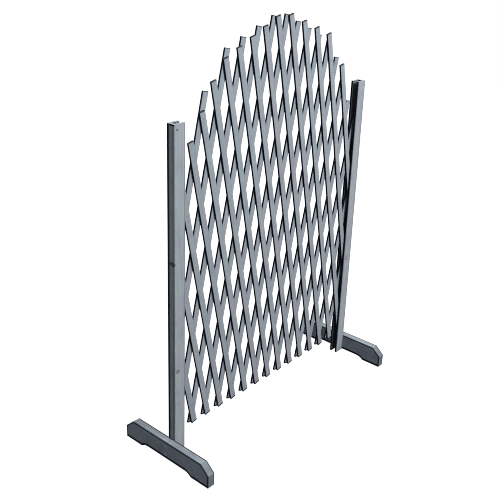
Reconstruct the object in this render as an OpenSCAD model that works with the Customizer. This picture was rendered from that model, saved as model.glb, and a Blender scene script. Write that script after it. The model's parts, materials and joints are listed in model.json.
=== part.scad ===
// Free-standing expanding trellis panel with an arched top.
// X runs along the panel, Y from its front to its back, Z up from the ground.
// Two layers of slats cross on rivets. The front layer leans left and the back layer leans right.
// Rivet places are counted in columns along X and rows up Z, and a crossing has column + row even.

/* [Lattice] */
// Slats in each layer
slats = 16; // [14:2:18]
// Distance between two rivets along a slat
link = 120; // [105:1:150]
// Lean of the slats from upright, as the panel stands in use
lean = 12.6; // [8:0.2:30]
// Width of a slat
slat_w = 18.5; // [14:0.5:20]
// Thickness of a slat
slat_t = 5.5; // [3:0.5:8]
// Gap between the front and the back layer
layer_gap = 0.3; // [0.2:0.05:0.6]
// Width of the eased long edges of a slat
slat_ease = 0.6; // [0.2:0.1:1.2]
// Height of the lowest row of rivets above the ground
row_height = 98.5; // [95:0.5:200]
// Length of a slat below its lowest rivet
low_end = 23; // [15:1:40]
// Length of a slat past its last rivet inside a post
post_end = 8; // [5:0.5:8.5]

/* [Arch] */
// Length of the two crown slats past their last rivet
crown_end = 100.5; // [92:0.5:105]
// How much shorter each slat is than its neighbour towards the crown
crown_step = 21.5; // [10:0.5:21.5]
// Lengths of the three rising shoulder slats past their last rivet
shoulder_ends = [66, 15, 84]; // [8:1:100]
// Length of the slat that falls from the far shoulder past its last rivet
last_end = 61; // [20:1:100]

/* [Rivets] */
// Diameter of a rivet shank
rivet_d = 3; // [2:0.1:4]
// Diameter of a rivet head
rivet_head_d = 5; // [4.5:0.1:8]
// Thickness of a rivet head
rivet_head_t = 0.5; // [0.3:0.1:1.2]
// Radial clearance of a shank in its bore
bore_play = 0.05; // [0.03:0.01:0.1]
// Gap under the back head, which lets the back slat turn
head_gap = 0.1; // [0.05:0.05:0.3]

/* [Posts] */
// Width of a post along the panel
post_w = 35; // [33:0.5:60]
// Distance from the open edge of a post to its pivot screw
pivot_inset = 12.5; // [8:0.5:14]
// Height of the post tops above the ground
post_top = 919; // [900:1:1100]
// Thickness of the front and back strips of a post
strip_t = 6.5; // [4.5:0.1:12]
// Width along the panel of the strip that joins them
web_w = 8; // [7.5:0.5:8]
// Gap between a rivet head and the strip beside it
groove_play = 0.15; // [0.1:0.05:1]
// Width of the eased long edges of a post
post_ease = 0.8; // [0.2:0.1:1.5]

/* [Pivot screws] */
// Diameter of the screw that pins the lattice in a post
pivot_d = 3; // [2.5:0.1:4.5]
// Diameter of its countersunk head
pivot_head_d = 6; // [5.5:0.1:8]
// Depth that it enters the front strip
pivot_grip = 4; // [2:0.1:4]

/* [Feet] */
// Length of a foot from front to back
foot_l = 313; // [280:1:420]
// Height of a foot
foot_h = 59.5; // [55:0.5:70]
// Thickness of a foot
foot_t = 23; // [16:0.5:23]
// Length of the sloping cut at each top end of a foot
slope_l = 27; // [10:0.5:45]
// Height of that sloping cut
slope_h = 23.5; // [10:0.5:40]
// Height of the arch under a foot
arch_h = 9.5; // [6:0.5:15]
// Length of the part of a foot that rests on the ground, at each end
pad_l = 62; // [40:1:80]
// Length of the rounded shoulder at each end of the arch
arch_run = 25; // [15:0.5:35]

/* [Foot screws] */
// Diameter of a foot screw
screw_d = 4; // [3:0.1:5]
// Length of a foot screw
screw_l = 30; // [28:0.5:30.5]
// Diameter of its countersunk head
screw_head_d = 8; // [7:0.1:10]
// Height of the head's cone
screw_head_h = 2.4; // [1.5:0.1:4]
// Height of the lower screw above the ground
screw_low = 22; // [16:0.5:26]
// Distance between the two screws of a foot
screw_gap = 26; // [14:0.5:27]

/* [Hidden] */
$fn = 48;
rows = 8;
pivot_row = 2;
columns = 2 * (slats - 2);
step_x = link * sin(lean);
step_z = link * cos(lean);
layer_y = (layer_gap + slat_t) / 2;
stack_half = layer_gap / 2 + slat_t;
groove_half = stack_half + head_gap + rivet_head_t + groove_play;
post_half = groove_half + strip_t;
post_open_x = columns / 2 * step_x - pivot_inset;
post_out_x = post_open_x + post_w;
web_x = post_out_x - web_w;
pivot_x = columns / 2 * step_x;
pivot_z = row_height + pivot_row * step_z;
pivot_cone = (pivot_head_d - pivot_d) / 2;
rivet_bore = rivet_d + 2 * bore_play;
pivot_bore = pivot_d + 2 * bore_play;
screw_bore = screw_d + 2 * bore_play;
arch_r = (arch_run * arch_run + arch_h * arch_h) / (2 * arch_h);
arch_flat = foot_l / 2 - pad_l - arch_run;
screw_z = [screw_low, screw_low + screw_gap];
cut = 1;
crown_slat = (columns / 2 + rows) / 2;
first_crown = 7;
stain = "slategray";
steel = "dimgray";

function digits(n) = n < 10 ? str("0", n) : str(n);
front_names = [for (n = [1:slats]) str("front_slat_", digits(n))];
back_names = [for (n = [1:slats]) str("back_slat_", digits(n))];
rivet_names = [for (n = [1:slats]) str("rivets_", digits(n))];

// Slat n of a layer holds the places whose column + row is 2n. The back layer is the mirror image.
function first_row(n) = max(0, 2 * n - columns);
function starts_in_post(n) = 2 * n >= columns;
function ends_in_post(n) = n <= 3;
function last_row(n) = n <= 3 ? 2 * n : n == 4 ? 6 : n < first_crown || n == slats ? 7 : rows;
function from_crown(n) = n <= crown_slat ? crown_slat - n : n - crown_slat - 1;
function bottom_end(n) = starts_in_post(n) ? post_end : low_end;
function top_end(n) =
    ends_in_post(n) ? post_end
    : n < first_crown ? shoulder_ends[n - 4]
    : n == slats ? last_end
    : crown_end - crown_step * from_crown(n);
function covers(n, row) = n >= 1 && n <= slats && row >= first_row(n) && row <= last_row(n);
function column_of(n, row) = 2 * n - row;
function crossed(n, row) = covers(columns / 2 - n + row, row);
function in_post(n, row) = column_of(n, row) == 0 || column_of(n, row) == columns;
function pinned(n, row) = row == pivot_row && in_post(n, row);
function column_x(column) = (column - columns / 2) * step_x;
function row_z(row) = row_height + row * step_z;

// A strip's section with its four long edges eased, centred on the origin.
module eased_section(width, depth, ease) {
    half_w = width / 2;
    half_d = depth / 2;
    polygon([
        [half_w - ease, -half_d], [half_w, -half_d + ease],
        [half_w, half_d - ease], [half_w - ease, half_d],
        [-half_w + ease, half_d], [-half_w, half_d - ease],
        [-half_w, -half_d + ease], [-half_w + ease, -half_d]
    ]);
}

// A rod along Y between two depths.
module rod_y(d, front, back) {
    translate([0, front, 0]) rotate([-90, 0, 0]) cylinder(d = d, h = back - front);
}

// Slat n with its first rivet at the origin, running up Z.
module slat(n) {
    first = first_row(n);
    run = (last_row(n) - first) * link;
    difference() {
        translate([0, 0, -bottom_end(n)])
            linear_extrude(height = bottom_end(n) + run + top_end(n))
                eased_section(slat_w, slat_t, slat_ease);
        for (row = [first:last_row(n)]) {
            if (crossed(n, row)) {
                bore = pinned(n, row) ? pivot_bore : rivet_bore;
                translate([0, 0, (row - first) * link]) rod_y(bore, -slat_t, slat_t);
            }
        }
    }
}

// Sets a slat of the front layer in its place and leans it to the left.
module lean_left(n, y) {
    first = first_row(n);
    translate([column_x(column_of(n, first)), y, row_z(first)]) rotate([0, -lean, 0]) children();
}

module front_slat(n) {
    color(stain) lean_left(n, -layer_y) slat(n);
}

module back_slat(n) {
    color(stain) mirror([1, 0, 0]) lean_left(n, layer_y) slat(n);
}

// One rivet through both layers, with its axis along Y.
module rivet() {
    rod_y(rivet_d, -stack_half, stack_half + head_gap);
    rod_y(rivet_head_d, -stack_half - rivet_head_t, -stack_half);
    rod_y(rivet_head_d, stack_half + head_gap, stack_half + head_gap + rivet_head_t);
}

// All the rivets that front slat n carries.
module rivets(n) {
    color(steel)
        for (row = [first_row(n):last_row(n)])
            if (crossed(n, row) && !pinned(n, row))
                translate([column_x(column_of(n, row)), 0, row_z(row)]) rivet();
}

// The bores and the countersink of the right post's pivot screw.
module pivot_cut() {
    translate([pivot_x, 0, pivot_z]) {
        rod_y(pivot_bore, -groove_half - pivot_grip, post_half + cut);
        translate([0, post_half - pivot_cone - bore_play, 0]) rotate([-90, 0, 0])
            cylinder(d1 = pivot_bore, d2 = pivot_head_d + 2 * bore_play, h = pivot_cone + bore_play);
    }
}

module pivot_screw() {
    color(steel) translate([pivot_x, 0, pivot_z]) {
        rod_y(pivot_d, -groove_half - pivot_grip, post_half - pivot_cone);
        translate([0, post_half - pivot_cone, 0]) rotate([-90, 0, 0])
            cylinder(d1 = pivot_d, d2 = pivot_head_d, h = pivot_cone);
    }
}

// A wide face strip of the right post, on the side that is given as -1 for front or 1 for back.
module post_face(side) {
    color(stain) difference() {
        translate([post_open_x + post_w / 2, side * (groove_half + strip_t / 2), arch_h])
            linear_extrude(height = post_top - arch_h)
                eased_section(post_w, strip_t, post_ease);
        pivot_cut();
    }
}

module post_web() {
    color(stain) difference() {
        translate([web_x, -groove_half, arch_h])
            cube([web_w, 2 * groove_half, post_top - arch_h]);
        foot_screw_cuts();
    }
}

// The side outline of a foot, with Y across and Z up.
module foot_outline() {
    half = foot_l / 2;
    polygon([
        [-half, 0], [half, 0],
        [half, foot_h - slope_h], [half - slope_l, foot_h],
        [-half + slope_l, foot_h], [-half, foot_h - slope_h]
    ]);
}

// The arch under a foot: a flat middle that runs down to the pads in a round shoulder at each end.
module arch_cut() {
    translate([0, -arch_flat, -cut]) cube([foot_t + 2 * cut, 2 * arch_flat, arch_h + cut]);
    for (side = [-1, 1])
        translate([0, side * arch_flat, arch_h - arch_r]) rotate([0, 90, 0])
            cylinder(r = arch_r, h = foot_t + 2 * cut, $fn = 128);
}

module foot() {
    color(stain) difference() {
        translate([post_out_x, 0, 0]) rotate([90, 0, 90])
            linear_extrude(height = foot_t) foot_outline();
        translate([post_out_x - cut, 0, 0]) arch_cut();
        foot_screw_cuts();
    }
}

// Bores through the right foot into the post web, countersunk on the outer face.
module foot_screw_cuts() {
    outer = post_out_x + foot_t;
    tip = outer - screw_l;
    for (z = screw_z) {
        translate([tip, 0, z]) rotate([0, 90, 0]) cylinder(d = screw_bore, h = screw_l + cut);
        translate([outer - screw_head_h - bore_play, 0, z]) rotate([0, 90, 0])
            cylinder(d1 = screw_bore, d2 = screw_head_d + 2 * bore_play, h = screw_head_h + bore_play);
    }
}

module foot_screws() {
    outer = post_out_x + foot_t;
    color(steel) for (z = screw_z) {
        translate([outer - screw_l, 0, z]) rotate([0, 90, 0])
            cylinder(d = screw_d, h = screw_l - screw_head_h);
        translate([outer - screw_head_h, 0, z]) rotate([0, 90, 0])
            cylinder(d1 = screw_d, d2 = screw_head_d, h = screw_head_h);
    }
}

module left_post_web() { mirror([1, 0, 0]) post_web(); }
module left_post_front() { mirror([1, 0, 0]) post_face(-1); }
module left_post_back() { mirror([1, 0, 0]) post_face(1); }
module left_foot() { mirror([1, 0, 0]) foot(); }
module left_foot_screws() { mirror([1, 0, 0]) foot_screws(); }
module left_pivot_screw() { mirror([1, 0, 0]) pivot_screw(); }
module right_post_web() { post_web(); }
module right_post_front() { post_face(-1); }
module right_post_back() { post_face(1); }
module right_foot() { foot(); }
module right_foot_screws() { foot_screws(); }
module right_pivot_screw() { pivot_screw(); }

for (n = [1:slats]) {
    front_slat(n);
    back_slat(n);
    rivets(n);
}
left_post_web();
left_post_front();
left_post_back();
left_foot();
left_foot_screws();
left_pivot_screw();
right_post_web();
right_post_front();
right_post_back();
right_foot();
right_foot_screws();
right_pivot_screw();
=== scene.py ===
"""Finishes, fixings and studio for a free-standing expanding trellis of stained wood.

The frame gives every slat, strip, board and fixing its size and place. This file stains the wood,
shapes the rivets, the screws and the nails, and sets up the studio. Lengths are in metres.
"""

import json
import math

import bmesh
import bpy
from bpy.props import FloatProperty, FloatVectorProperty, IntProperty, PointerProperty
from mathutils import Matrix, Vector


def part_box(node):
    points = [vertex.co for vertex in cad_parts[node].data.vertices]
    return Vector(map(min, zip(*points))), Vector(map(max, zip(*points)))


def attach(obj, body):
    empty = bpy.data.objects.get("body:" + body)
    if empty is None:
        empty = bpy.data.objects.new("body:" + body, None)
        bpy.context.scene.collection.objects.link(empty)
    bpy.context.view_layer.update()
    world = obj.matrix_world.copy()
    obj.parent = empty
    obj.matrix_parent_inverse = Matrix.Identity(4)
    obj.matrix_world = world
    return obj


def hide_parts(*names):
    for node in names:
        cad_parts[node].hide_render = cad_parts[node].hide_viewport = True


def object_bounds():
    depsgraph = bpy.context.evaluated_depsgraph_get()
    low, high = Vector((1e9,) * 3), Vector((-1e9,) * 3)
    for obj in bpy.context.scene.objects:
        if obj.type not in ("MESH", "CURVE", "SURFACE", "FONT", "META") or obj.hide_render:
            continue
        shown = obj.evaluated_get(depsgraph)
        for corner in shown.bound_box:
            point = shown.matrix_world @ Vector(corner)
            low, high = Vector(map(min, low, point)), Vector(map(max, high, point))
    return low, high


bl_info = {
    "name": "Expanding trellis",
    "version": (1, 0, 0),
    "blender": (4, 5, 0),
    "location": "3D View > Sidebar > Trellis",
    "description": "Stains and fastens an expanding trellis, and sets up its studio",
    "category": "Object",
}

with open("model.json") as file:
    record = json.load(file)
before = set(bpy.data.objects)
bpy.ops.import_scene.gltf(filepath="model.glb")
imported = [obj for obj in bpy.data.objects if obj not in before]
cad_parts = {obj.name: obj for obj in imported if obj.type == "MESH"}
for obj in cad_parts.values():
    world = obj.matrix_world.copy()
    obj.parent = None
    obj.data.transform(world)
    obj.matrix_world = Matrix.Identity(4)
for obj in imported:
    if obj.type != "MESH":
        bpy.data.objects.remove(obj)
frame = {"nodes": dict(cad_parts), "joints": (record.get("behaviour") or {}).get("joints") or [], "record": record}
cad_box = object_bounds()

MM = 0.001
TINY = 0.01 * MM
SIDES = ("left", "right")

# The grain of a foot runs from front to back, and this turn brings it upright.
FOOT_TURN = math.pi / 2

# The grain's noise runs this much slower along the wood, which draws it out into streaks and fibres.
STREAK_SQUEEZE = 0.035
FIBRE_SQUEEZE = 0.012

# The widths of a patch and of a bend in the growth lines, in widths of a streak.
PATCH_WIDTH = 2.5
BEND_WIDTH = 0.6

# How far a bend shifts the growth lines, in lines.
RING_BEND = 7.0

# The darkest and the lightest piece of wood.
PIECE_TONES = (0.96, 1.05)

# The sky's fill light fades over this height about the horizon, to this share below it.
HORIZON = 0.1
LIGHT_FROM_BELOW = 0.08


def rivet_place(joint_name):
    """Where a joint of the frame stands at rest."""
    joint = next(j for j in frame["joints"] if j["name"] == joint_name)
    return Vector(joint["pos_m"])


def lattice_step():
    """The way from one rivet of a back slat to the next one up."""
    return rivet_place("pivot_front_slat_03") - rivet_place("pivot_front_slat_02")


def slat_width(lean):
    """The width of a slat, from the box round a leaning one."""
    low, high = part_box("front_slat_07")
    size = high - low
    return (size.x * math.cos(lean) - size.z * math.sin(lean)) / math.cos(2 * lean)


def node_names(start):
    """The names of the CAD nodes that start with the given words, in order."""
    return sorted(name for name in frame["nodes"] if name.startswith(start))


def body_of(node):
    """The body that a CAD node rides on."""
    bodies = frame["record"]["behaviour"]["bodies"]
    return next(body for body, members in bodies.items() if node in members)


class StainSettings(bpy.types.PropertyGroup):
    """The grey stain, the grain of the wood and the painted shade on its edges."""

    face: FloatVectorProperty(
        name="Face", description="Stain on the wide faces",
        subtype="COLOR", min=0, max=1, default=(0.155, 0.181, 0.203))
    streak: FloatVectorProperty(
        name="Streak", description="Warmer stain in the broad streaks",
        subtype="COLOR", min=0, max=1, default=(0.178, 0.185, 0.206))
    pore: FloatVectorProperty(
        name="Pore", description="Dark stain that gathers in the fine grain",
        subtype="COLOR", min=0, max=1, default=(0.083, 0.098, 0.117))
    patch: FloatVectorProperty(
        name="Patch", description="Greener stain in the broad patches",
        subtype="COLOR", min=0, max=1, default=(0.148, 0.175, 0.180))
    knot: FloatVectorProperty(
        name="Knot", description="Dark wood of a knot",
        subtype="COLOR", min=0, max=1, default=(0.045, 0.053, 0.062))
    # Painted shade: a near-black colour that stands in for the shade on the narrow edges and ends, and for dark
    # outlines along the edges.
    cut: FloatVectorProperty(
        name="Sawn edge", description="Stain soaked into the sawn edges and ends",
        subtype="COLOR", min=0, max=1, default=(0.002, 0.005, 0.010))
    post_tint: FloatVectorProperty(
        name="Post tint", description="How much lighter and warmer the stain is on the posts",
        min=0.5, max=2, default=(1.10, 1.07, 1.05))
    streak_width: FloatProperty(
        name="Streak width", description="Width across the grain of a broad streak",
        unit="LENGTH", min=0.002, max=0.1, default=0.016)
    ring_width: FloatProperty(
        name="Ring width", description="Distance between two growth lines",
        unit="LENGTH", min=0.0005, max=0.02, default=0.0028)
    fibre_width: FloatProperty(
        name="Fibre width", description="Width of a single fibre line",
        unit="LENGTH", min=0.0002, max=0.01, default=0.0011)
    # The rim is the width of the painted shade outline along an edge.
    rim: FloatProperty(
        name="Rim", description="Width of the dark stain that gathers along an edge",
        unit="LENGTH", min=0, max=0.005, default=0.0026)
    grain_depth: FloatProperty(
        name="Grain depth", description="Depth of the grain's relief",
        unit="LENGTH", min=0, max=0.002, default=0.00035)
    roughness: FloatProperty(
        name="Roughness", description="Roughness of the raised grain",
        subtype="FACTOR", min=0, max=1, default=0.8)
    sheen: FloatProperty(
        name="Sheen", description="Strength of the wood's faint shine",
        subtype="FACTOR", min=0, max=1, default=0.03)


class FixingSettings(bpy.types.PropertyGroup):
    """The rivets, screws and nails."""

    head: FloatProperty(
        name="Rivet head thickness", description="Height of a rivet's domed head",
        unit="LENGTH", min=0.0002, max=0.002, default=0.0005)
    shank: FloatProperty(
        name="Rivet shank", description="Diameter of a rivet's shank",
        unit="LENGTH", min=0.001, max=0.005, default=0.003)
    nail_head: FloatProperty(
        name="Nail head", description="Diameter of a nail's head",
        unit="LENGTH", min=0.001, max=0.008, default=0.0042)
    nail_length: FloatProperty(
        name="Nail length", description="Length of a nail",
        unit="LENGTH", min=0.005, max=0.03, default=0.014)
    nail_inset: FloatProperty(
        name="Nail inset", description="Distance of the nails from the outer edge of a post",
        unit="LENGTH", min=0.003, max=0.02, default=0.0086)
    nail_margin: FloatProperty(
        name="Nail margin", description="Distance of the first nail from the end of a post",
        unit="LENGTH", min=0.005, max=0.1, default=0.0135)
    nails: IntProperty(
        name="Nails", description="Nails along each strip", min=2, max=20, default=2)
    sides: IntProperty(
        name="Sides", description="Sides of a turned fixing", min=8, max=64, default=18)
    steel: FloatVectorProperty(
        name="Steel", description="Dull zinc on the fixings",
        subtype="COLOR", min=0, max=1, default=(0.20, 0.215, 0.235))


class StudioSettings(bpy.types.PropertyGroup):
    """The floor, the lights and the camera."""

    floor_size: FloatProperty(
        name="Floor", description="Side of the square floor",
        unit="LENGTH", min=2, max=200, default=120)
    floor_glow: FloatProperty(
        name="Floor glow", description="Light that comes up through the white floor",
        min=0, max=2, default=1.0)
    floor_shade: FloatProperty(
        name="Floor shade", description="Share of the falling light that the floor gives back",
        subtype="FACTOR", min=0, max=1, default=0.03)
    key: FloatProperty(
        name="Key light", description="Power of the softbox in front",
        unit="POWER", min=0, default=291)
    key_place: FloatVectorProperty(
        name="Key light place", description="Centre of the softbox in front",
        subtype="TRANSLATION", unit="LENGTH", default=(0.5, -3.0, 2.6))
    side: FloatProperty(
        name="Side light", description="Power of the softbox on the left",
        unit="POWER", min=0, default=44)
    side_place: FloatVectorProperty(
        name="Side light place", description="Centre of the softbox on the left",
        subtype="TRANSLATION", unit="LENGTH", default=(-3.0, -0.3, 2.8))
    back: FloatProperty(
        name="Back light", description="Power of the softbox behind",
        unit="POWER", min=0, default=260)
    back_place: FloatVectorProperty(
        name="Back light place", description="Centre of the softbox behind",
        subtype="TRANSLATION", unit="LENGTH", default=(2.0, 3.4, 1.8))
    top: FloatProperty(
        name="Top light", description="Power of the softbox overhead",
        unit="POWER", min=0, default=40)
    top_place: FloatVectorProperty(
        name="Top light place", description="Centre of the softbox overhead",
        subtype="TRANSLATION", unit="LENGTH", default=(0.0, 0.0, 3.6))
    softbox: FloatProperty(
        name="Softbox", description="Side of each square softbox",
        unit="LENGTH", min=0.1, max=10, default=1.8)
    pixel_width: FloatProperty(
        name="Pixel width", description="Width over which a point of the picture spreads, in pixels",
        min=0.5, max=3, default=0.9)
    fill: FloatVectorProperty(
        name="Fill", description="Even cool light from above",
        subtype="COLOR", min=0, default=(0.36, 0.40, 0.45))
    eye: FloatVectorProperty(
        name="Camera place", description="Where the camera stands",
        subtype="TRANSLATION", unit="LENGTH", default=(-1.5713, -1.2512, 1.3625))
    heading: FloatProperty(
        name="Camera heading", description="Turn of the camera about the vertical",
        subtype="ANGLE", default=math.radians(-48.84))
    tilt: FloatProperty(
        name="Camera tilt", description="Angle of the view from straight down",
        subtype="ANGLE", default=math.radians(68.76))
    roll: FloatProperty(
        name="Camera roll", description="Turn of the camera about its own view",
        subtype="ANGLE", default=math.radians(1.73))
    focal: FloatProperty(
        name="Focal length", description="Focal length on a 36 mm wide sensor",
        unit="CAMERA", min=1, max=500, default=55.93)
    shift: FloatVectorProperty(
        name="Shift", description="Shift of the picture, in widths of the frame",
        size=2, default=(0.0199, -0.0646))


class Finish:
    """A new material, with short calls that add its nodes and link them."""

    def __init__(self, name):
        self.material = bpy.data.materials.new(name)
        self.material.use_nodes = True
        self.tree = self.material.node_tree
        self.shader = self.tree.nodes["Principled BSDF"]

    def put(self, value, socket):
        """Links an output to a socket, or sets the socket to a plain value."""
        if isinstance(value, bpy.types.NodeSocket):
            self.tree.links.new(value, socket)
        else:
            socket.default_value = value

    def add(self, kind, inputs, **settings):
        """Adds a node of the given kind. Its inputs go by name or by number."""
        node = self.tree.nodes.new("ShaderNode" + kind)
        for name, value in settings.items():
            setattr(node, name, value)
        for name, value in inputs.items():
            self.put(value, node.inputs[name])
        return node

    def calc(self, operation, *values):
        """The result of a Math node."""
        return self.add("Math", dict(enumerate(values)), operation=operation).outputs[0]

    def less(self, first, second):
        """The first value less the second."""
        return self.calc("SUBTRACT", first, second)

    def unsigned(self, value):
        """A value without its sign."""
        return self.calc("ABSOLUTE", value)

    def most(self, value, *others):
        """The largest of some values."""
        for other in others:
            value = self.calc("MAXIMUM", value, other)
        return value

    def vector(self, operation, *values):
        """The vector that a Vector Math node gives."""
        return self.add("VectorMath", dict(enumerate(values)), operation=operation).outputs["Vector"]

    def scaled(self, vector, factor):
        """A vector times a factor."""
        return self.add("VectorMath", {0: vector, "Scale": factor}, operation="SCALE").outputs["Vector"]

    def length(self, vector):
        """The length of a vector."""
        return self.add("VectorMath", {0: vector}, operation="LENGTH").outputs["Value"]

    def turned(self, vector, angles, vector_type="POINT"):
        """A point, or with VECTOR a direction, turned by three angles."""
        return self.add("Mapping", {"Vector": vector, "Rotation": angles}, vector_type=vector_type).outputs[0]

    def apart(self, vector):
        """The three parts of a vector."""
        return self.add("SeparateXYZ", {"Vector": vector}).outputs

    def span(self, value, low, high, to_low=0.0, to_high=1.0):
        """A value carried from one range to another, and held inside it."""
        inputs = {"Value": value, "From Min": low, "From Max": high, "To Min": to_low, "To Max": to_high}
        return self.add("MapRange", inputs, clamp=True).outputs["Result"]

    def fade(self, distance, start, end, share):
        """A share of dark stain, full up to one distance from an edge and gone at another."""
        return self.span(distance, start, end, share, 0.0)

    def squarely(self, facing):
        """How squarely a face looks one way, from the part of its normal that points there."""
        return self.span(facing, 0.5, 0.8)

    def mix(self, factor, first, second):
        """Two colours mixed by a factor."""
        return self.add("Mix", {0: factor, 6: first, 7: second}, data_type="RGBA").outputs[2]

    def own_value(self, name):
        """A value that each object keeps under the given name."""
        return self.add("Attribute", {}, attribute_type="OBJECT", attribute_name=name).outputs["Fac"]

    def noise(self, at, width, detail=2.0, roughness=0.5):
        """Soft noise whose patches are about width across."""
        inputs = {"Vector": at, "Scale": 1 / width, "Detail": detail, "Roughness": roughness}
        return self.add("TexNoise", inputs).outputs["Fac"]


def colour(value):
    """A colour property as the four numbers that a node takes."""
    return (*value, 1.0)


def stained_wood(name, stain, grain_turn, edge_shade_mask, knots=(), tint=(1.0, 1.0, 1.0), mottle=0.11):
    """Grey stained softwood.

    The turn brings the grain upright, the mask gives the share of painted shade on the edges and ends, the tint
    lightens or warms the stain, and mottle is the strength of its broad light and dark patches.
    """
    finish = Finish(name)
    coordinates = finish.add("TexCoord", {}).outputs
    place = finish.turned(coordinates["Object"], grain_turn)
    normal = finish.turned(coordinates["Normal"], grain_turn, "VECTOR")

    # Every piece is cut from another part of the tree.
    chance = finish.add("ObjectInfo", {}).outputs["Random"]
    offset = finish.add("CombineXYZ", {"X": chance, "Z": finish.calc("MULTIPLY", chance, 7.0)}).outputs[0]
    own = finish.vector("ADD", place, offset)

    long_streaks = finish.vector("MULTIPLY", own, (1.0, 1.0, STREAK_SQUEEZE))
    fine_lines = finish.vector("MULTIPLY", own, (1.0, 1.0, FIBRE_SQUEEZE))
    streaks = finish.noise(long_streaks, stain.streak_width)
    patches = finish.noise(own, PATCH_WIDTH * stain.streak_width, detail=3.0)
    fibres = finish.noise(fine_lines, stain.fibre_width, detail=3.0, roughness=0.65)
    bend = finish.noise(long_streaks, BEND_WIDTH * stain.streak_width, detail=1.0)
    straight_lines = finish.calc("MULTIPLY", finish.apart(own)[0], 1 / stain.ring_width)
    bent_lines = finish.calc("ADD", straight_lines, finish.calc("MULTIPLY", bend, RING_BEND))
    rings = finish.calc("PINGPONG", bent_lines, 0.5)

    # Noise lies mostly between 0.3 and 0.7, so each span takes the part of that range that it needs.
    wood = finish.mix(finish.span(streaks, 0.38, 0.62), colour(stain.face), colour(stain.streak))
    wood = finish.mix(finish.span(patches, 0.5, 0.62, 0.0, 0.8), wood, colour(stain.patch))
    tone = finish.calc("MULTIPLY", finish.span(patches, 0.3, 0.7, 1 - mottle, 1 + mottle),
                       finish.span(chance, 0.0, 1.0, *PIECE_TONES))
    wood = finish.scaled(finish.vector("MULTIPLY", wood, tint), tone)
    wood = finish.mix(finish.span(fibres, 0.34, 0.56, 0.45, 0.0), wood, colour(stain.pore))
    wood = finish.mix(finish.span(rings, 0.0, 0.16, 0.16, 0.0), wood, colour(stain.pore))
    for knot in knots:
        wood = knot_mark(finish, coordinates["Object"], wood, stain, *knot)
    # Painted shade: the edges and ends are darkened to near-black where the mask says, in place of the shade on
    # them.
    wood = finish.mix(edge_shade_mask(finish, place, normal), wood, colour(stain.cut))

    relief = finish.calc("ADD", finish.calc("MULTIPLY", fibres, 0.7), finish.calc("MULTIPLY", rings, 0.3))
    bump = finish.add("Bump", {"Height": relief, "Strength": 0.6, "Distance": stain.grain_depth})
    rough, smooth = stain.roughness + 0.1, stain.roughness - 0.1
    finish.put(wood, finish.shader.inputs["Base Color"])
    finish.put(finish.span(fibres, 0.3, 0.7, rough, smooth), finish.shader.inputs["Roughness"])
    finish.put(bump.outputs[0], finish.shader.inputs["Normal"])
    finish.shader.inputs["Specular IOR Level"].default_value = stain.sheen
    return finish.material


def knot_mark(finish, place, wood, stain, centre, size, heart):
    """A small knot at one place. The heart is the share of dark wood in its middle."""
    away = finish.vector("DIVIDE", finish.vector("SUBTRACT", place, centre), size)
    distance = finish.length(away)
    inside = finish.fade(distance, 0.75, 1.05, 0.9)
    hollow = finish.span(distance, 0.25, 0.6, heart, 1.0)
    return finish.mix(finish.calc("MULTIPLY", inside, hollow), wood, colour(stain.knot))


def slat_edge_shade(turn_y, width, step, rim):
    """A slat was sawn on its two narrow edges and its ends, and these get painted near-black shade. Painted shade
    also darkens the rims of its faces, as dark outlines.

    The slats of a layer lie side by side, a spacing apart, so one mask finds the middle of each.
    """
    centre = (Matrix.Rotation(turn_y, 3, "Y") @ rivet_place("pivot_front_slat_02")).x
    spacing = 2 * step.x * math.cos(turn_y)

    def mask(finish, place, normal):
        across, _, along = finish.apart(place)
        # Painted shade: near-black narrow edges, dark rims along the faces and dark bands at the two ends.
        shaded_edge = finish.squarely(finish.unsigned(finish.apart(normal)[0]))
        from_middle = finish.calc("PINGPONG", finish.less(across, centre), spacing / 2)
        side_rims = finish.fade(finish.less(width / 2, from_middle), 0.0, 0.5 * rim, 0.8)
        above_low = finish.less(along, finish.own_value("low_end"))
        below_high = finish.less(finish.own_value("high_end"), along)
        low_rim = finish.fade(above_low, 1.2 * rim, 1.9 * rim, 0.95)
        high_rim = finish.fade(below_high, 0.3 * rim, 1.1 * rim, 0.9)
        return finish.most(shaded_edge, side_rims, low_rim, high_rim)

    return mask


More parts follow.
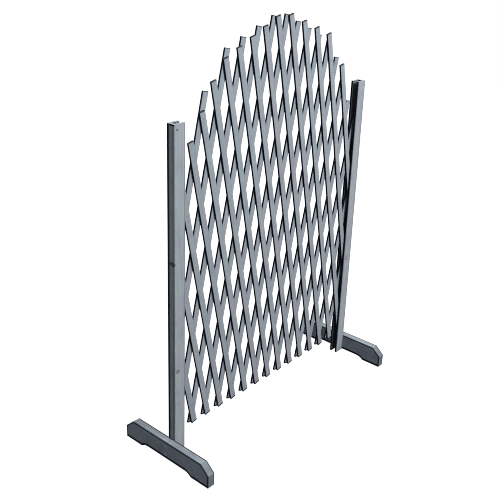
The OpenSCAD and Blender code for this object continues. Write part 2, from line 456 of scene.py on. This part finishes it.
def post_edge_shade(side, rim):
    """A post was sawn on the edges that face the lattice. These get painted near-black shade, and its back strip
    is painted dark on its outer edge too.

    Painted shade also darkens the groove, the outer face's front strip and top, and the rims of the front and back
    faces by the open edge. The right post's front and back faces are painted darker towards its outer edge.
    """
    low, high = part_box(side + "_post_front")
    open_edge = min(abs(low.x), abs(high.x))
    width = high.x - low.x
    groove_half = -high.y

    def mask(finish, place, normal):
        x, y, z = finish.apart(place)
        facing_x, facing_y, _ = finish.apart(normal)
        outward = finish.calc("MULTIPLY", facing_x, finish.calc("SIGN", x))
        inward = finish.less(0.0, outward)

        # Painted shade on the outer face: near-black on the back strip, a little darker on the front strip, and
        # dark along the top.
        back_strip = finish.span(y, groove_half - 0.9 * rim, groove_half - 0.1 * rim)
        front_strip = finish.fade(y, -groove_half, 0.5 * rim - groove_half, 0.15)
        cap = finish.fade(finish.less(high.z, z), 1.2 * rim, 2.2 * rim, 0.95)
        outer = finish.calc("MULTIPLY", finish.squarely(outward), finish.most(back_strip, front_strip, cap))

        # Painted shade inside the groove and along the rims by the open edge, and on the right post darker towards
        # its outer edge.
        groove_shade = finish.fade(finish.unsigned(y), groove_half, groove_half + 0.2 * rim, 0.6)
        from_open_edge = finish.less(finish.unsigned(x), open_edge)
        rims = finish.fade(from_open_edge, 0.9 * rim, 1.8 * rim, 0.35)
        if side == "right":
            rims = finish.most(rims, finish.span(from_open_edge, width - 3 * rim, width, 0.0, 0.4))
        faces = finish.calc("MULTIPLY", finish.squarely(finish.unsigned(facing_y)), finish.most(rims, groove_shade))
        # Painted shade: the faces towards the lattice are near-black.
        return finish.most(finish.squarely(inward), outer, faces)

    return mask


def foot_outline(node):
    """The side outline of a foot: its half length and height, where the slopes start and end, and its arch.

    The last three numbers are where the pads start, where the arch's flat top ends and its height.
    """
    points = [(abs(vert.co.y), vert.co.z) for vert in frame["nodes"][node].data.vertices]
    length = max(y for y, z in points)
    height = max(z for y, z in points)
    slope_start = max(y for y, z in points if z > height - TINY)
    slope_end = max(z for y, z in points if y > length - TINY)
    pad = min(y for y, z in points if z < TINY)
    flat, arch = min((y, z) for y, z in points if TINY < z < 0.3 * height)
    return length, height, slope_start, slope_end, pad, flat, arch


def foot_edge_shade(node, rim):
    """A foot is sanded all round. Its arrises are painted dark as shade, and its sawn slopes and ends are painted
    a little darker.
    """
    length, height, slope_start, slope_end, pad, flat, arch = foot_outline(node)
    slope = Vector((height - slope_end, length - slope_start)).normalized()
    slope_line = length * slope.x + slope_end * slope.y
    low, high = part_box(node)
    middle = abs(low.x + high.x) / 2
    half = (high.x - low.x) / 2
    turn_back = (-FOOT_TURN, 0, 0)

    def mask(finish, place, normal):
        x, y, z = finish.apart(finish.turned(place, turn_back))
        facing_x, facing_y, _ = finish.apart(finish.turned(normal, turn_back, "VECTOR"))
        along = finish.unsigned(y)

        on_slope = finish.calc("MULTIPLY_ADD", along, slope.x, finish.calc("MULTIPLY", z, slope.y))
        from_upper = finish.calc("MINIMUM", finish.less(height, z), finish.less(slope_line, on_slope))
        shoulder = finish.span(along, flat, pad)
        fall = finish.calc("MULTIPLY", finish.calc("MULTIPLY", shoulder, shoulder), arch)
        above_arch = finish.less(z, finish.less(arch, fall))
        # Painted shade: dark bands along the upper edges, the bottom edge over the floor and the ends of each
        # flank.
        flank_rims = finish.most(finish.fade(from_upper, rim, 1.8 * rim, 0.8),
                                 finish.fade(above_arch, 2.4 * rim, 3.2 * rim, 0.96),
                                 finish.fade(finish.less(length, along), 1.2 * rim, 2.0 * rim, 0.9))

        from_middle = finish.unsigned(finish.less(finish.unsigned(x), middle))
        # Painted shade along the rims of the top. The slopes and ends are painted a little darker.
        top_rims = finish.fade(finish.less(half, from_middle), 0.7 * rim, 1.6 * rim, 0.9)
        steep = finish.unsigned(facing_y)
        slope_darkening = finish.span(steep, 0.3, 0.6, 0.0, 0.25)
        end_darkening = finish.span(steep, 0.75, 0.95, 0.0, 0.2)
        sawn = finish.calc("ADD", slope_darkening, end_darkening)

        flank = finish.squarely(finish.unsigned(facing_x))
        on_flank = finish.calc("MULTIPLY", flank, flank_rims)
        elsewhere = finish.calc("MULTIPLY", finish.less(1.0, flank), finish.most(sawn, top_rims))
        return finish.calc("ADD", on_flank, elsewhere)

    return mask


def dull_steel(name, steel, roughness=0.6, metallic=0.6):
    """Zinc-plated steel that has gone dull, with faint scratches."""
    finish = Finish(name)
    place = finish.add("TexCoord", {}).outputs["Object"]
    clouds = finish.noise(place, 1.5 * MM, detail=3.0)
    scratches = finish.noise(finish.vector("MULTIPLY", place, (1.0, 1.0, 0.15)), 0.3 * MM)
    darker = tuple(channel * 0.6 for channel in steel)
    zinc = finish.mix(finish.span(clouds, 0.35, 0.65), colour(darker), colour(steel))
    wear = finish.span(scratches, 0.3, 0.7, roughness - 0.1, roughness + 0.1)
    bump = finish.add("Bump", {"Height": scratches, "Strength": 0.3, "Distance": 0.05 * MM})
    finish.put(zinc, finish.shader.inputs["Base Color"])
    finish.put(wear, finish.shader.inputs["Roughness"])
    finish.put(bump.outputs[0], finish.shader.inputs["Normal"])
    finish.shader.inputs["Metallic"].default_value = metallic
    return finish.material


def coat(names, material):
    """Gives CAD nodes a finish."""
    for name in names:
        for slot in frame["nodes"][name].material_slots:
            slot.material = material


def loose_solids(node):
    """The centre and half size of each separate solid of a CAD node, in order along X, Y and Z."""
    mesh = bmesh.new()
    mesh.from_mesh(frame["nodes"][node].data)

    # In this copy the corners that lie in one place are joined, so that a solid's faces hang together.
    bmesh.ops.remove_doubles(mesh, verts=mesh.verts, dist=0.001 * MM)
    seen = set()
    found = []
    for start in mesh.verts:
        if start in seen:
            continue
        seen.add(start)
        solid = [start]
        for vert in solid:
            for edge in vert.link_edges:
                other = edge.other_vert(vert)
                if other not in seen:
                    seen.add(other)
                    solid.append(other)
        low = Vector(min(vert.co[axis] for vert in solid) for axis in range(3))
        high = Vector(max(vert.co[axis] for vert in solid) for axis in range(3))
        found.append(((low + high) / 2, (high - low) / 2))
    mesh.free()
    return sorted(found, key=lambda box: tuple(round(value, 5) for value in box[0]))


def turn(mesh, centre, axis, profile, sides):
    """Adds a shape turned about an axis, and gives its first ring of points.

    The profile is a list of (distance along the axis, radius). A radius of 0 closes the shape.
    """
    spin = axis.to_track_quat("Z", "Y")
    rings = []
    for along, radius in profile:
        if radius == 0:
            rings.append([mesh.verts.new(centre + spin @ Vector((0, 0, along)))])
            continue
        ring = []
        for side in range(sides):
            angle = 2 * math.pi * side / sides
            point = Vector((radius * math.cos(angle), radius * math.sin(angle), along))
            ring.append(mesh.verts.new(centre + spin @ point))
        rings.append(ring)
    for first, second in zip(rings, rings[1:]):
        for side in range(sides):
            corners = []
            for vert in (first[side % len(first)], first[(side + 1) % len(first)],
                         second[(side + 1) % len(second)], second[side % len(second)]):
                if vert not in corners:
                    corners.append(vert)
            mesh.faces.new(corners)
    return rings[0]


def dome(radius, height, top, steps=4):
    """The profile of a round cap, from its top down to its rim."""
    points = []
    for step in range(steps + 1):
        angle = math.pi / 2 * step / steps
        points.append((top - height * (1 - math.cos(angle)), radius * math.sin(angle)))
    return points


def finish_piece(name, mesh, material, body, replaced=None):
    """Makes a piece of a mesh, gives it its finish and lets it ride on its body."""
    bmesh.ops.recalc_face_normals(mesh, faces=mesh.faces)
    data = bpy.data.meshes.new(name)
    mesh.to_mesh(data)
    mesh.free()
    data.materials.append(material)
    for face in data.polygons:
        face.use_smooth = True
    data.set_sharp_from_angle(angle=math.radians(35))
    piece = bpy.data.objects.new(name, data)
    bpy.context.scene.collection.objects.link(piece)
    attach(piece, body)
    if replaced:
        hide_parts(replaced)
    return piece


def cross_recess(mesh, rim, centre, axis, radius, depth):
    """Closes the flat top of a screw head with a cross-shaped recess in it.

    An arm is half the width of each bar of the cross, for a bar that reaches 1 from the middle.
    """
    spin = axis.to_track_quat("Z", "Y")
    arm = 0.2

    def outline(reach, along):
        corners = [(1, -arm), (1, arm), (arm, arm), (arm, 1), (-arm, 1), (-arm, arm),
                   (-1, arm), (-1, -arm), (-arm, -arm), (-arm, -1), (arm, -1), (arm, -arm)]
        return [mesh.verts.new(centre + spin @ Vector((x * reach, y * reach, along))) for x, y in corners]

    mouth = outline(radius * 0.6, 0.0)
    floor = outline(radius * 0.3, -depth)
    loops = []
    for loop in (rim, mouth):
        for first, second in zip(loop, loop[1:] + loop[:1]):
            loops.append(mesh.edges.get((first, second)) or mesh.edges.new((first, second)))
    bmesh.ops.triangle_fill(mesh, use_beauty=True, edges=loops)
    for index in range(len(mouth)):
        after = (index + 1) % len(mouth)
        mesh.faces.new((mouth[index], mouth[after], floor[after], floor[index]))
    mesh.faces.new(floor)


def countersunk_screw(mesh, head, axis, radius, shank, length, sides):
    """Adds a countersunk cross-head screw. Its head's top lies at head and axis points out of the wood."""
    cone = radius - shank
    profile = [(0.0, radius), (-0.08 * cone, radius), (-cone, shank),
               (-length + 2 * shank, shank), (-length, 0.25 * shank), (-length, 0)]
    rim = turn(mesh, head, axis, profile, sides)
    cross_recess(mesh, rim, head, axis, radius, 0.7 * cone)


class TRELLIS_OT_slats(bpy.types.Operator):
    """Stain the two layers of slats, with painted shade on their edges and ends"""

    bl_idname = "trellis.slats"
    bl_label = "Slats"

    def execute(self, context):
        stain = context.scene.trellis_stain
        step = lattice_step()
        lean = math.atan2(step.x, step.z)
        for start, turn_y in (("front_slat", lean), ("back_slat", -lean)):
            shade_mask = slat_edge_shade(turn_y, slat_width(lean), step, stain.rim)
            material = stained_wood(start + "_stain", stain, (0, turn_y, 0), shade_mask)
            coat(node_names(start), material)
            turned = Matrix.Rotation(turn_y, 3, "Y")
            for name in node_names(start):
                slat = frame["nodes"][name]
                along = [(turned @ vert.co).z for vert in slat.data.vertices]
                slat["low_end"], slat["high_end"] = min(along), max(along)
        return {"FINISHED"}


class TRELLIS_OT_posts(bpy.types.Operator):
    """Stain the strips of the two posts, with painted shade on their edges and in the groove"""

    bl_idname = "trellis.posts"
    bl_label = "Posts"

    def execute(self, context):
        stain = context.scene.trellis_stain
        fixing = context.scene.trellis_fixing
        low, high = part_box("left_post_front")
        nail = (low.x + fixing.nail_inset, low.y, high.z - fixing.nail_margin)

        # Each mark has its centre, its half sizes and the share of dark wood in its middle.
        knots = {
            "left": (
                ((low.x + 10 * MM, low.y, 268 * MM), (6.5 * MM, 6.5 * MM, 6.5 * MM), 0.3),
                ((low.x, low.y + 8 * MM, 570.5 * MM), (4 * MM, 12 * MM, 6.8 * MM), 1.0),
                (nail, (4.5 * MM, 4.5 * MM, 3.2 * MM), 0.7),
            ),
            "right": (
                ((368 * MM, low.y, 352 * MM), (5 * MM, 5 * MM, 9 * MM), 0.0),
            ),
        }
        upright = (0, 0, 0)
        for side in SIDES:
            shade_mask = post_edge_shade(side, stain.rim)
            material = stained_wood(side + "_post_stain", stain, upright, shade_mask, knots[side], stain.post_tint)
            coat(node_names(side + "_post"), material)
        return {"FINISHED"}


class TRELLIS_OT_feet(bpy.types.Operator):
    """Stain the two feet, with painted shade along their edges"""

    bl_idname = "trellis.feet"
    bl_label = "Feet"

    def execute(self, context):
        stain = context.scene.trellis_stain
        shade_mask = foot_edge_shade("right_foot", stain.rim)
        material = stained_wood("feet_stain", stain, (FOOT_TURN, 0, 0), shade_mask, mottle=0.2)
        coat([side + "_foot" for side in SIDES], material)
        return {"FINISHED"}


class TRELLIS_OT_rivets(bpy.types.Operator):
    """Shape the rivets, with a dome at the front and a rolled end on a washer at the back"""

    bl_idname = "trellis.rivets"
    bl_label = "Rivets"

    def execute(self, context):
        fixing = context.scene.trellis_fixing
        material = dull_steel("rivet_zinc", fixing.steel, roughness=0.85, metallic=0.3)
        head, shank = fixing.head, fixing.shank / 2
        for node in node_names("rivets"):
            mesh = bmesh.new()
            for centre, half in loose_solids(node):
                radius, front, back = half.x, half.y, -half.y
                under = back + head
                profile = dome(radius, head, front) + [(front - head, shank), (under, shank)]
                washer = [(under, radius), (under - 0.3 * head, radius), (under - 0.35 * head, 0.62 * radius)]
                rolled_end = [(back, 0.5 * radius), (back, 0.34 * radius), (under, 0.26 * radius), (under, 0)]
                turn(mesh, centre, Vector((0, -1, 0)), profile + washer + rolled_end, fixing.sides)
            finish_piece(node + "_shaped", mesh, material, body_of(node), node)
        return {"FINISHED"}


class TRELLIS_OT_screws(bpy.types.Operator):
    """Shape the foot screws and the pivot screws, with a cross recess in each head"""

    bl_idname = "trellis.screws"
    bl_label = "Screws"

    def execute(self, context):
        fixing = context.scene.trellis_fixing
        material = dull_steel("screw_zinc", fixing.steel)
        outward = {"left": Vector((-1, 0, 0)), "right": Vector((1, 0, 0))}
        for side in SIDES:
            for kind, axis in (("_foot_screws", outward[side]), ("_pivot_screw", Vector((0, 1, 0)))):
                mesh = bmesh.new()
                node = side + kind
                for centre, half in loose_solids(node):
                    reach = abs(half.dot(axis))
                    radius = half.z
                    head = centre + axis * reach
                    countersunk_screw(mesh, head, axis, radius, 0.5 * radius, 2 * reach, fixing.sides)
                finish_piece(node + "_shaped", mesh, material, side + "_post", node)
        return {"FINISHED"}


class TRELLIS_OT_nails(bpy.types.Operator):
    """Drive the nails that hold the face strips of each post to its web"""

    bl_idname = "trellis.nails"
    bl_label = "Nails"

    def execute(self, context):
        fixing = context.scene.trellis_fixing
        material = dull_steel("nail_zinc", tuple(channel * 0.5 for channel in fixing.steel))
        head = fixing.nail_head / 2
        shank = 0.4 * head
        crown = dome(head, 0.12 * head, 0.1 * MM)
        neck = [(-0.25 * head, head), (-0.45 * head, shank)]
        point = [(head - fixing.nail_length, shank), (-fixing.nail_length, 0)]
        profile = crown + neck + point
        for side in SIDES:
            for face, axis in (("front", Vector((0, -1, 0))), ("back", Vector((0, 1, 0)))):
                low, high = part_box("%s_post_%s" % (side, face))
                x = low.x + fixing.nail_inset if side == "left" else high.x - fixing.nail_inset
                y = low.y if face == "front" else high.y
                mesh = bmesh.new()
                run = high.z - low.z - 2 * fixing.nail_margin
                for index in range(fixing.nails):
                    z = low.z + fixing.nail_margin + run * index / (fixing.nails - 1)
                    turn(mesh, Vector((x, y, z)), axis, profile, fixing.sides)
                finish_piece("%s_%s_nails" % (side, face), mesh, material, side + "_post")
        return {"FINISHED"}


class TRELLIS_OT_studio(bpy.types.Operator):
    """Lay the pale floor, hang the soft lights and set up the camera"""

    bl_idname = "trellis.studio"
    bl_label = "Studio"

    def execute(self, context):
        studio = context.scene.trellis_studio
        lay_floor(studio)
        light_sky(context.scene, studio)
        hang_softbox("key_light", studio.key, studio.key_place, studio.softbox)
        hang_softbox("side_light", studio.side, studio.side_place, studio.softbox)
        hang_softbox("back_light", studio.back, studio.back_place, studio.softbox)
        hang_softbox("top_light", studio.top, studio.top_place, studio.softbox)
        stand_camera(context.scene, studio)
        context.scene.view_settings.view_transform = "Standard"
        context.scene.cycles.filter_width = studio.pixel_width
        return {"FINISHED"}


def lay_floor(studio):
    """A plain pale floor, lit from beneath like a light table. It throws no light on the wood."""
    half = studio.floor_size / 2
    corners = ((-half, -half), (half, -half), (half, half), (-half, half))
    mesh = bmesh.new()
    mesh.faces.new([mesh.verts.new((x, y, 0)) for x, y in corners])
    data = bpy.data.meshes.new("floor")
    mesh.to_mesh(data)
    mesh.free()
    finish = Finish("pale_floor")
    shade = studio.floor_shade
    finish.shader.inputs["Base Color"].default_value = (shade, shade, shade, 1.0)
    finish.shader.inputs["Emission Color"].default_value = (1.0, 1.0, 1.0, 1.0)
    finish.shader.inputs["Emission Strength"].default_value = studio.floor_glow
    finish.shader.inputs["Roughness"].default_value = 1.0
    finish.shader.inputs["Specular IOR Level"].default_value = 0.0
    data.materials.append(finish.material)
    floor = bpy.data.objects.new("floor", data)
    floor.visible_diffuse = False
    bpy.context.scene.collection.objects.link(floor)


def light_sky(scene, studio):
    """An even white surround, whose light falls only from above."""
    world = bpy.data.worlds.new("studio_sky")
    world.use_nodes = True
    scene.world = world
    nodes, links = world.node_tree.nodes, world.node_tree.links
    white = nodes["Background"]
    white.inputs["Color"].default_value = (1, 1, 1, 1)
    direction = nodes.new("ShaderNodeTexCoord")
    height = nodes.new("ShaderNodeSeparateXYZ")
    level = nodes.new("ShaderNodeMapRange")
    levels = {"From Min": -HORIZON, "From Max": HORIZON, "To Min": LIGHT_FROM_BELOW, "To Max": 1.0}
    for name, value in levels.items():
        level.inputs[name].default_value = value
    fill = nodes.new("ShaderNodeBackground")
    fill.inputs["Color"].default_value = colour(studio.fill)
    seen = nodes.new("ShaderNodeLightPath")
    either = nodes.new("ShaderNodeMixShader")
    links.new(direction.outputs["Generated"], height.inputs[0])
    links.new(height.outputs["Z"], level.inputs["Value"])
    links.new(level.outputs["Result"], fill.inputs["Strength"])
    links.new(seen.outputs["Is Camera Ray"], either.inputs[0])
    links.new(fill.outputs[0], either.inputs[1])
    links.new(white.outputs[0], either.inputs[2])
    links.new(either.outputs[0], nodes["World Output"].inputs["Surface"])


def hang_softbox(name, power, place, side):
    """A square softbox that points at the middle of the trellis."""
    lamp = bpy.data.lights.new(name, "AREA")
    lamp.energy = power
    lamp.size = side
    light = bpy.data.objects.new(name, lamp)
    low, high = cad_box
    light.location = place
    light.rotation_euler = ((low + high) / 2 - light.location).to_track_quat("-Z", "Y").to_euler()
    light.visible_camera = False
    bpy.context.scene.collection.objects.link(light)


def stand_camera(scene, studio):
    """The camera at the photographed angle."""
    lens = bpy.data.cameras.new("camera")
    lens.sensor_width = 36
    lens.lens = studio.focal
    lens.shift_x, lens.shift_y = studio.shift
    camera = bpy.data.objects.new("camera", lens)
    turned = Matrix.Rotation(studio.heading, 4, "Z")
    turned = turned @ Matrix.Rotation(studio.tilt, 4, "X") @ Matrix.Rotation(studio.roll, 4, "Z")
    camera.matrix_world = Matrix.Translation(studio.eye) @ turned
    scene.collection.objects.link(camera)
    scene.camera = camera


OPERATORS = (
    TRELLIS_OT_slats, TRELLIS_OT_posts, TRELLIS_OT_feet, TRELLIS_OT_rivets,
    TRELLIS_OT_screws, TRELLIS_OT_nails, TRELLIS_OT_studio,
)


class TRELLIS_PT_panel(bpy.types.Panel):
    """The trellis's steps, in the order in which they are run"""

    bl_idname = "TRELLIS_PT_panel"
    bl_label = "Trellis"
    bl_space_type = "VIEW_3D"
    bl_region_type = "UI"
    bl_category = "Trellis"

    def draw(self, context):
        for name in SETTINGS:
            settings = getattr(context.scene, name)
            box = self.layout.box()
            for prop in settings.__annotations__:
                box.prop(settings, prop)
        for operator in OPERATORS:
            self.layout.operator(operator.bl_idname)


SETTINGS = {
    "trellis_stain": StainSettings,
    "trellis_fixing": FixingSettings,
    "trellis_studio": StudioSettings,
}
CLASSES = (*SETTINGS.values(), *OPERATORS, TRELLIS_PT_panel)


def register():
    for cls in CLASSES:
        bpy.utils.register_class(cls)
    for name, group in SETTINGS.items():
        setattr(bpy.types.Scene, name, PointerProperty(type=group))


def unregister():
    for name in SETTINGS:
        delattr(bpy.types.Scene, name)
    for cls in reversed(CLASSES):
        bpy.utils.unregister_class(cls)


def main():
    register()
    bpy.ops.trellis.slats()
    bpy.ops.trellis.posts()
    bpy.ops.trellis.feet()
    bpy.ops.trellis.rivets()
    bpy.ops.trellis.screws()
    bpy.ops.trellis.nails()
    bpy.ops.trellis.studio()


if __name__ == "__main__":
    main()
